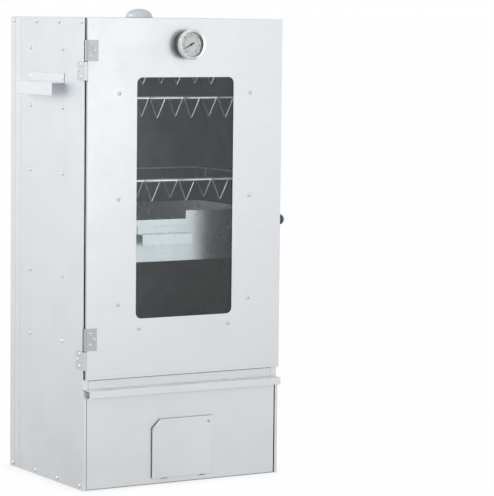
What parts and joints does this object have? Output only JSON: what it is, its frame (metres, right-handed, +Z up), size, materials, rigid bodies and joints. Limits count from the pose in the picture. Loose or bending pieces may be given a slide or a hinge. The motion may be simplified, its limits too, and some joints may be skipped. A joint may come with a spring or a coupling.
{
  "type": "cabinet smoker",
  "caption": "Upright sheet-metal cabinet smoker with a glazed door, dial thermometer, hook bars, grease tray, sawdust drawer, roof vent and electric heater.",
  "frame": {"origin": "centre of the cabinet's base, on the floor", "axes": "+Z up, -Y out of the glazed door, +X to the right when facing the door"},
  "size_m": [0.451, 0.3832, 0.8483],
  "materials": {
    "sheet": "pale galvanised sheet, semi-gloss",
    "tray": "bright rolled sheet",
    "hinge": "zinc-plated, satin",
    "wire": "bright drawn wire",
    "chrome": "polished",
    "heater": "heat-darkened sheath",
    "dial": "satin white",
    "black": "glossy",
    "pointer": "matte black",
    "lamp": "clear red",
    "glass": "clear, faintly smoked"
  },
  "bodies": {
    "cabinet": {"left_side_panel": "sheet", "right_side_panel": "sheet", "back_panel": "sheet", "roof_panel": "sheet", "floor_panel": "sheet", "sill_rail": "sheet", "sill_lip": "sheet", "left_handle": "sheet", "right_handle": "sheet", "left_drawer_runner": "sheet", "right_drawer_runner": "sheet", "left_top_rail": "sheet", "left_middle_rail": "sheet", "left_lower_rail": "sheet", "left_tray_rail": "sheet", "left_bottom_rail": "sheet", "right_top_rail": "sheet", "right_middle_rail": "sheet", "right_lower_rail": "sheet", "right_tray_rail": "sheet", "right_bottom_rail": "sheet", "top_hook_bar": "wire", "middle_hook_bar": "wire", "lower_hook_bar": "wire", "rack_frame": "wire", "grease_tray": "tray", "grease_tray_handle": "tray", "upper_hinge_body_leaf": "hinge", "upper_hinge_pin": "hinge", "lower_hinge_body_leaf": "hinge", "lower_hinge_pin": "hinge", "vent_pivot_rivet": "hinge", "heating_element": "heater", "thermostat": "hinge", "terminal_box": "sheet", "pilot_lamp": "lamp", "appliance_inlet": "black"},
    "door": {"door_panel": "sheet", "window_glass": "glass", "left_glass_strip": "sheet", "right_glass_strip": "sheet", "bottom_glass_strip": "sheet", "upper_hinge_door_leaf": "hinge", "lower_hinge_door_leaf": "hinge", "thermometer_case": "chrome", "thermometer_bezel": "chrome", "thermometer_dial": "dial", "thermometer_lens": "glass", "thermometer_stem": "chrome", "latch_keeper": "hinge"},
    "pointer": {"thermometer_pointer": "pointer"},
    "latch": {"latch_knob": "black", "latch_spindle": "hinge"},
    "drawer": {"drawer_front": "sheet", "drawer_pan": "sheet", "sawdust_tray": "tray", "flap_pivot_rivet": "hinge"},
    "flap": {"draft_flap": "sheet"},
    "vent": {"vent_lid": "sheet"},
    "dial": {"thermostat_dial": "black"}
  },
  "joints": [
    {"name": "door_hinge", "type": "hinge", "parent": "cabinet", "child": "door", "pos_m": [-0.199, -0.152, 0.5], "axis": [0, 0, -1], "range_deg": [0, 180]},
    {"name": "latch_turn", "type": "hinge", "parent": "cabinet", "child": "latch", "pos_m": [0.2, -0.127, 0.466], "axis": [1, 0, 0], "range_deg": [0, 90]},
    {"name": "drawer_slide", "type": "slide", "parent": "cabinet", "child": "drawer", "axis": [0, -1, 0], "range_m": [0, 0.2]},
    {"name": "flap_pivot", "type": "hinge", "parent": "drawer", "child": "flap", "pos_m": [0.0525, -0.1531, 0.107], "axis": [0, 1, 0], "range_deg": [0, 28]},
    {"name": "vent_swivel", "type": "hinge", "parent": "cabinet", "child": "vent", "pos_m": [0, 0.054, 0.833], "axis": [0, 0, 1], "range_deg": [0, 90]},
    {"name": "pointer_turn", "type": "hinge", "parent": "door", "child": "pointer", "pos_m": [0, -0.1695, 0.7862], "axis": [0, 1, 0], "range_deg": [0, 250]},
    {"name": "dial_turn", "type": "hinge", "parent": "cabinet", "child": "dial", "pos_m": [0, 0.195, 0.112], "axis": [0, -1, 0], "range_deg": [0, 270]}
  ]
}
